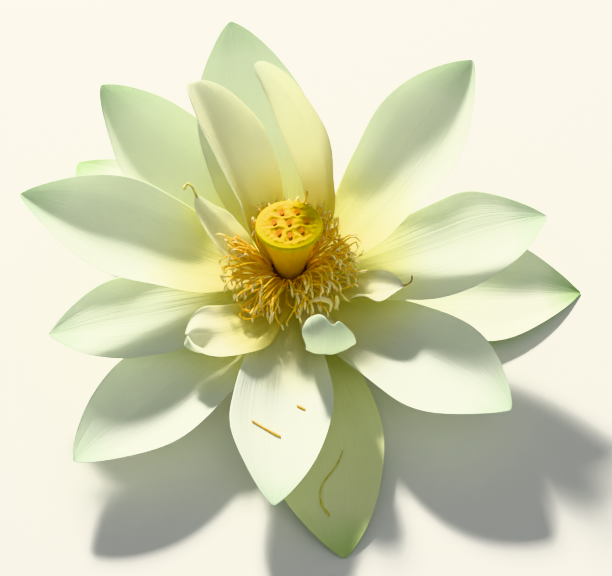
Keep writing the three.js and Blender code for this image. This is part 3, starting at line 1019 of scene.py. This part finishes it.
@dataclass
class Stamen:
    """One stamen: a thin filament, a longer anther, and the club that hangs from its end.

    Its angles are in degrees, its phase is in radians, and its sizes are in millimetres.
    """

    az: float
    height: float
    climb: float
    arch: float
    sway: float
    kink: float
    phase: float
    filament: float
    anther: float
    club: float
    hang: float
    root: float = 6.2
    filament_radius: float = 0.21
    anther_radius: float = 0.37
    club_radius: float = 0.52

    @property
    def length(self) -> float:
        """Gives the whole stamen's length."""
        return self.filament + self.anther + self.club

    @property
    def anther_from(self) -> float:
        """Gives the share of the length where the anther starts."""
        return self.filament / self.length

    @property
    def club_from(self) -> float:
        """Gives the share of the length where the club starts."""
        return 1 - self.club / self.length

    def radius_at(self, share: float) -> float:
        """Gives the radius at a share of the length.

        Args:
            share: From 0 at the root to 1 at the end of the club.

        Returns:
            The radius, in millimetres.
        """
        if share < self.anther_from:
            return self.filament_radius
        if share < self.club_from:
            place = (share - self.anther_from) / (self.club_from - self.anther_from)
            return self.anther_radius * (0.72 + 0.28 * sin(pi * place))
        place = (share - self.club_from) / (1 - self.club_from)
        return self.club_radius * (0.45 + 0.55 * sin(pi * clamp(0.1 + 0.8 * place)))

    def path(self, steps: int) -> list[Vector]:
        """Walks the middle line: it leaves the collar, arches over, and its club hangs.

        Args:
            steps: Stretches in the line.

        Returns:
            The line's points, in millimetres.
        """
        heading = radians(self.az)
        point = aim(heading, 0.0) * self.root + Vector((0, 0, self.height))
        points = [point.copy()]
        for step in range(steps):
            s = (step + 0.5) / steps
            wobble = self.kink * sin(7 * s + self.phase) * s
            climb = self.climb - self.arch * s ** 1.7 + 1.4 * wobble
            turn = self.sway * s + 1.6 * wobble
            if s > self.club_from:
                climb = mix(climb, self.hang, smooth(self.club_from, self.club_from + 0.06, s))
            along = aim(heading + radians(turn), radians(climb))
            point = point + along * (self.length / steps)
            points.append(point.copy())
        return points


@dataclass
class StamenRing:
    """The dense ring of stamens round the receptacle's foot, on their fused collar."""

    surfaces: BVHTree
    count: int = 380
    seed: int = 23
    steps: int = 15
    sides: int = 6
    clearance: float = 0.9
    head_clearance: float = 0.7
    brown_root: float = 0.09
    steepest: float = 74.0
    climb_step: float = 3.0
    arch_step: float = 5.0
    least_arch: float = 12.0
    thinning: float = 0.74
    thin_at: float = -88.0
    thin_spread: float = 36.0
    collar_segments: int = 96

    def is_clear(self, path: list[Vector]) -> bool:
        """Tells whether a path keeps its distance from the tepals and the receptacle.

        Args:
            path: A stamen's middle line.

        Returns:
            Whether every point after the root is clear.
        """
        for point in path[1:]:
            flank = mix(FOOT_RADIUS, RIM_RADIUS, clamp(point.z / HEAD_HEIGHT))
            off_axis = hypot(point.x, point.y)
            if point.z < HEAD_HEIGHT + 2 and off_axis < flank + self.head_clearance:
                return False
            _, _, _, distance = self.surfaces.find_nearest(point, self.clearance * 2)
            if distance is not None and distance < self.clearance:
                return False
        return True

    def draw_stamen(self, draw: random.Random, index: int) -> Stamen:
        """Draws one seeded stamen. Those at the back and right stand steeper.

        Args:
            draw: The ring's own source of random numbers.
            index: The stamen's number.

        Returns:
            The stamen.
        """
        az = index * GOLDEN_ANGLE % 360 + draw.uniform(-7, 7)
        steep = 16 * cos(radians(az - 60))
        return Stamen(
            az=az,
            height=draw.uniform(0.8, 3.2),
            climb=draw.uniform(6, 66) + steep,
            arch=draw.uniform(10, 125),
            sway=draw.uniform(-55, 55),
            kink=draw.uniform(6, 34),
            phase=draw.uniform(0, 2 * pi),
            filament=draw.uniform(8.0, 14.5),
            anther=draw.uniform(7.5, 12.0),
            club=draw.uniform(3.6, 5.8),
            hang=draw.uniform(-104, -72) if draw.random() < 0.85 else draw.uniform(-50, 30),
        )

    def find_way(self, stamen: Stamen) -> list[Vector]:
        """Raises a stamen until it is clear of the tepals.

        Args:
            stamen: The stamen, which is changed.

        Returns:
            Its free path, or an empty list.
        """
        path = stamen.path(self.steps)
        while not self.is_clear(path) and stamen.climb < self.steepest:
            stamen.climb += self.climb_step
            stamen.arch = max(stamen.arch - self.arch_step, self.least_arch)
            path = stamen.path(self.steps)
        return path if self.is_clear(path) else []

    def build(self) -> None:
        """Builds the collar and every stamen that finds a free way, with fewer at the front."""
        draw = random.Random(self.seed)
        shape = bmesh.new()
        layer = shape.verts.layers.float.new("share")
        placed = 0
        for index in range(self.count):
            stamen = self.draw_stamen(draw, index)
            az = (stamen.az + 180) % 360 - 180
            if draw.random() < self.thinning * bump_at(self.thin_at, self.thin_spread, az):
                continue
            path = self.find_way(stamen)
            if not path:
                continue
            placed += 1
            before = len(shape.faces)
            add_tube(shape, path, stamen.radius_at, self.sides, layer)
            shape.faces.ensure_lookup_table()
            bounds = (self.brown_root, stamen.anther_from, stamen.club_from)
            for face in shape.faces[before:]:
                share = sum(vert[layer] for vert in face.verts) / len(face.verts)
                face.material_index = sum(share >= bound for bound in bounds)
        collar = [(5.3, 0.0), (7.1, 0.0), (7.2, 1.2), (7.0, 2.4), (6.6, 2.9), (5.85, 2.8)]
        spin_profile(shape, collar, self.collar_segments, closed=True)
        log.info("stamens placed: %d of %d", placed, self.count)
        finishes = [skin.build() for skin in (ROOT, FILAMENT, ANTHER, CLUB)]
        finish_piece("stamen_ring", shape, finishes, "stamens")


# ---- Small loose forms ----

TIP_AT = 0.97


@dataclass
class Thread:
    """A thread or ribbon through a few points, with a radius at its start, middle and end.

    Its points are millimetres from the axis or from a tepal's tip, or, where it lies on a
    tepal, shares along and across the blade.
    """

    name: str
    radii: tuple[float, float, float]
    skin: PlantSkin
    points: list[tuple[float, ...]]
    flatten: float = 1.0
    tip_of: str = ""
    lies_on: str = ""
    steps: int = 28
    sides: int = 10
    lift: float = BLADE / 2 + 0.3

    def radius_at(self, share: float) -> float:
        """Gives the radius along the thread.

        Args:
            share: Share of the length.

        Returns:
            The radius, in millimetres.
        """
        start, middle, end = self.radii
        if share < 0.5:
            return mix(start, middle, smooth(0.0, 0.5, share))
        return mix(middle, end, smooth(0.5, 1.0, share))

    def place(self, corolla: Corolla) -> list[Vector]:
        """Finds the points that the thread passes through.

        Args:
            corolla: The tepals.

        Returns:
            The points, in millimetres.
        """
        if self.lies_on:
            blade = corolla.named(self.lies_on)
            return [
                blade.fine_point(s, t) + blade.sheet(s, t)[1] * self.lift for s, t in self.points
            ]
        start = corolla.named(self.tip_of).fine_point(TIP_AT, 0.0) if self.tip_of else Vector()
        return [start + Vector(point) for point in self.points]

    def build(self, corolla: Corolla) -> None:
        """Builds the thread.

        Args:
            corolla: The tepals that it may grow from or lie on.
        """
        shape = bmesh.new()
        path = smooth_path(self.place(corolla), self.steps)
        add_tube(shape, path, self.radius_at, self.sides, flatten=self.flatten)
        finish_piece(self.name, shape, [self.skin.build()])


THREADS = [
    Thread("thread_back_left", (0.55, 0.42, 0.4), FADED_THREAD, [
        (0, 0, 0), (-1.0, 1.6, 1.8), (-2.2, 3.0, 3.6), (-3.6, 3.8, 4.2), (-4.4, 3.4, 3.6),
    ], tip_of="tepal_small_back_left"),
    Thread("knob_back_left", (0.5, 0.75, 0.5), PETALOID, [
        (-4.2, 3.5, 3.8), (-4.8, 3.0, 3.0), (-5.0, 2.6, 2.0),
    ], tip_of="tepal_small_back_left"),
    Thread("thread_right", (0.4, 0.25, 0.3), DRY_THREAD, [
        (0, 0, 0), (2.6, 0.6, 0.6), (4.2, 1.8, 1.4), (4.4, 3.4, 2.8),
    ], tip_of="tepal_small_right"),
    Thread("petaloid_arch", (0.9, 1.3, 0.8), PETALOID, [
        (7.0, -20.5, 5.0), (9.5, -20.4, 7.4), (13.0, -20.6, 8.0), (16.0, -21.8, 7.0),
        (15.6, -23.4, 3.6),
    ], flatten=0.45),
    Thread("petaloid_club", (0.6, 1.0, 0.8), PETALOID, [
        (18.0, -19.6, 9.2), (18.4, -20.4, 6.0), (17.8, -21.0, 2.6),
    ], flatten=0.7),
    Thread("curled_stamen_long", (0.25, 0.34, 0.5), FRESH_THREAD, [
        (-20.0, -20.5, 6.6), (-17.6, -23.4, 5.6), (-14.0, -24.2, 5.2), (-13.0, -26.8, 4.8),
        (-16.2, -27.8, 4.6), (-18.8, -26.0, 4.8), (-17.2, -23.9, 5.2), (-14.8, -25.4, 5.6),
    ]),
    Thread("curled_stamen_short", (0.25, 0.32, 0.45), FRESH_THREAD, [
        (-10.6, -21.2, 6.0), (-9.8, -24.4, 5.2), (-12.4, -26.4, 4.8), (-14.8, -24.9, 4.6),
        (-13.4, -22.6, 5.4), (-10.8, -23.6, 5.8),
    ]),
    Thread("fallen_stamen_front", (0.25, 0.32, 0.36), FRESH_THREAD, [
        (0.655, 0.56), (0.68, 0.26), (0.708, -0.04),
    ], lies_on="tepal_front"),
    Thread("fallen_scrap_front", (0.3, 0.4, 0.3), FRESH_THREAD, [
        (0.565, -0.29), (0.575, -0.37), (0.585, -0.46),
    ], lies_on="tepal_front"),
    Thread("fallen_stamen_outer", (0.2, 0.28, 0.45), FADED_THREAD, [
        (0.62, -0.33), (0.672, -0.19), (0.735, 0.11), (0.795, 0.23), (0.852, 0.137),
    ], lies_on="tepal_outer_front"),
]


# ---- Stalk ----


@dataclass
class Stalk:
    """The cut stalk and the torus that the tepals grow from, with its prickles."""

    radius: float = 4.4
    torus_radius: float = 7.4
    torus_depth: float = 9.0
    torus_bevel: float = 0.7
    neck_depth: float = 4.0
    neck_steps: int = 8
    seat_gap: float = 0.3
    clearance: float = 2.0
    canals: int = 6
    canal_radius: float = 0.9
    canal_ring: float = 2.6
    canal_depth: float = 6.0
    canal_sides: int = 16
    segments: int = 72
    prickles: int = 46

    @property
    def cut_z(self) -> float:
        """Gives the height of the cut end."""
        return FLOOR_Z + self.clearance

    def outline(self) -> list[tuple[float, float]]:
        """Draws the outline from the cut end's edge to the middle of the top.

        Returns:
            Radius and height of each point.
        """
        shares = [step / self.neck_steps for step in range(self.neck_steps + 1)]
        neck = [
            (mix(self.radius, self.torus_radius, smooth(0.2, 1.0, share)),
             mix(-self.torus_depth - self.neck_depth, -self.torus_depth + 0.6, share))
            for share in shares
        ]
        shaft = [(self.radius, mix(self.cut_z, neck[0][1], step / 6)) for step in range(6)]
        return [
            *shaft, *neck,
            (self.torus_radius, -self.seat_gap - self.torus_bevel),
            (self.torus_radius - 0.25, -self.seat_gap - 0.2),
            (self.torus_radius - self.torus_bevel, -self.seat_gap),
            (0.0, -self.seat_gap),
        ]

    def build(self) -> None:
        """Spins the stalk, closes its cut end and sinks the air canals into it."""
        shape = bmesh.new()
        spin_profile(shape, self.outline(), self.segments)
        bmesh.ops.remove_doubles(shape, verts=shape.verts, dist=SPIN_MERGE)
        edges = [edge for edge in shape.edges if edge.is_boundary]
        mouths = []
        for canal in range(self.canals):
            angle = 2 * pi * canal / self.canals
            centre = aim(angle, 0.0) * self.canal_ring + Vector((0, 0, self.cut_z))
            circle = bmesh.ops.create_circle(
                shape, cap_ends=False, radius=self.canal_radius, segments=self.canal_sides,
                matrix=Matrix.Translation(centre),
            )
            mouths.append({edge for vert in circle["verts"] for edge in vert.link_edges})
            edges.extend(mouths[-1])
        cap = bmesh.ops.triangle_fill(shape, edges=edges, use_beauty=True)
        for face in (item for item in cap["geom"] if isinstance(item, BMFace)):
            face.material_index = 1
        for mouth in mouths:
            self.sink_canal(shape, list(mouth))
        finishes = [skin.build() for skin in (STALK, PITH, CANAL)]
        finish_piece("stalk_skin", shape, finishes, "stalk")

    def sink_canal(self, shape: BMesh, mouth: list[BMEdge]) -> None:
        """Extrudes one canal into the stalk and closes its blind end.

        Args:
            shape: The stalk's mesh.
            mouth: The edges of the canal's mouth.
        """
        pulled = bmesh.ops.extrude_edge_only(shape, edges=mouth)["geom"]
        deep = [item for item in pulled if isinstance(item, BMVert)]
        bmesh.ops.translate(shape, verts=deep, vec=(0, 0, self.canal_depth))
        ends = [item for item in pulled if isinstance(item, BMEdge) and item.is_boundary]
        walls = [item for item in pulled if isinstance(item, BMFace)]
        floor = bmesh.ops.contextual_create(shape, geom=ends)["faces"]
        for face in [*walls, *floor]:
            face.material_index = 2

    def build_prickles(self) -> None:
        """Builds the small blunt prickles that roughen a lotus stalk."""
        draw = random.Random(8)
        shape = bmesh.new()
        for index in range(self.prickles):
            radial = aim(radians(index * GOLDEN_ANGLE), 0.0)
            z = mix(self.cut_z + 0.8, -self.torus_depth - self.neck_depth, draw.random())
            outwards = (radial + Vector((0, 0, 0.25))).normalized()
            height = draw.uniform(0.5, 0.9)
            middle = radial * self.radius + Vector((0, 0, z)) + outwards * (height / 2 - 0.12)
            turn = outwards.to_track_quat("Z", "Y").to_matrix().to_4x4()
            bmesh.ops.create_cone(
                shape, cap_ends=True, segments=8, radius1=0.3, radius2=0.05,
                depth=height, matrix=Matrix.Translation(middle) @ turn,
            )
        finish_piece("stalk_prickles", shape, [PRICKLE.build()])


# ---- Studio ----


@dataclass
class Studio:
    """The pale floor, the soft lights and the camera that looks down into the bloom."""

    elevation: float = 50.0
    distance_mm: float = 450.0
    aim_right_mm: float = 6.4
    aim_down_mm: float = 6.4
    lens_mm: float = 66.2
    sensor_mm: float = 36.0
    floor_size: float = 6.0

    def add_object(self, name: str, data: ID, place: Matrix) -> Object:
        """Puts a camera, a light or a mesh into the scene.

        Args:
            name: The object's name.
            data: What it holds.
            place: Where it stands.

        Returns:
            The object.
        """
        thing = bpy.data.objects.new(name, data)
        thing.matrix_world = place
        bpy.context.scene.collection.objects.link(thing)
        return thing

    def add_camera(self) -> None:
        """Adds the camera."""
        lift = radians(self.elevation)
        right = Vector((1, 0, 0))
        up = Vector((0, sin(lift), cos(lift)))
        back = Vector((0, -cos(lift), sin(lift)))
        target = FOOT + (right * self.aim_right_mm - up * self.aim_down_mm) * MM
        camera = bpy.data.cameras.new("camera")
        camera.lens = self.lens_mm
        camera.sensor_width = self.sensor_mm
        camera.sensor_fit = "HORIZONTAL"
        camera.clip_start = 0.01
        turn = Matrix((right, up, back)).transposed().to_4x4()
        place = Matrix.Translation(target + back * (self.distance_mm * MM)) @ turn
        bpy.context.scene.camera = self.add_object("camera", camera, place)

    def add_light(
        self, name: str, azimuth: float, elevation: float, distance: float, size: float,
        watts: float, tint: str,
    ) -> None:
        """Adds a square soft light that faces the bloom.

        Args:
            name: The light's name.
            azimuth: Degrees from +X towards +Y.
            elevation: Degrees above the floor.
            distance: Metres from the receptacle's foot.
            size: Its side, in metres.
            watts: Its power.
            tint: Its sRGB hex colour.
        """
        light = bpy.data.lights.new(name, "AREA")
        light.size = size
        light.energy = watts
        light.color = linear(tint)[:3]
        outwards = aim(radians(azimuth), radians(elevation))
        turn = outwards.to_track_quat("Z", "Y").to_matrix().to_4x4()
        self.add_object(name, light, Matrix.Translation(FOOT + distance * outwards) @ turn)

    def add_floor(self) -> None:
        """Adds the pale floor that the bloom rests on."""
        shape = bmesh.new()
        bmesh.ops.create_grid(shape, x_segments=1, y_segments=1, size=self.floor_size / 2)
        mesh = bpy.data.meshes.new("floor")
        shape.to_mesh(mesh)
        shape.free()
        mesh.materials.append(PaperFloor().build())
        self.add_object("floor", mesh, Matrix())

    def add_sky(self) -> None:
        """Adds the even light that comes from all round."""
        world = bpy.data.worlds.new("soft_room")
        world.use_nodes = True
        world.node_tree.nodes.clear()
        sky = add_node(world.node_tree, "Background", {
            "Color": linear("ecf0f4"), "Strength": 0.38,
        })
        add_node(world.node_tree, "OutputWorld", {"Surface": sky})
        bpy.context.scene.world = world

    def build(self) -> None:
        """Sets the whole studio up, with a view transform that keeps strong yellows clear."""
        self.add_camera()
        self.add_floor()
        self.add_sky()
        self.add_light(
            "key", azimuth=108, elevation=34, distance=1.1, size=0.15, watts=42.0, tint="fff9ee",
        )
        self.add_light(
            "fill", azimuth=-70, elevation=65, distance=1.3, size=0.9, watts=1.5, tint="f4f8fc",
        )
        bpy.context.scene.view_settings.view_transform = "Khronos PBR Neutral"


def main() -> None:
    """Builds the studio and the bloom in order."""
    logging.basicConfig(level=logging.INFO, format="%(name)s: %(message)s")
    Studio().build()
    corolla = Corolla(TEPALS)
    corolla.build()
    receptacle = Receptacle()
    receptacle.build()
    receptacle.build_stigmas()
    StamenRing(corolla.surfaces).build()
    for thread in THREADS:
        thread.build(corolla)
    stalk = Stalk()
    stalk.build()
    stalk.build_prickles()


if __name__ == "__main__":
    main()
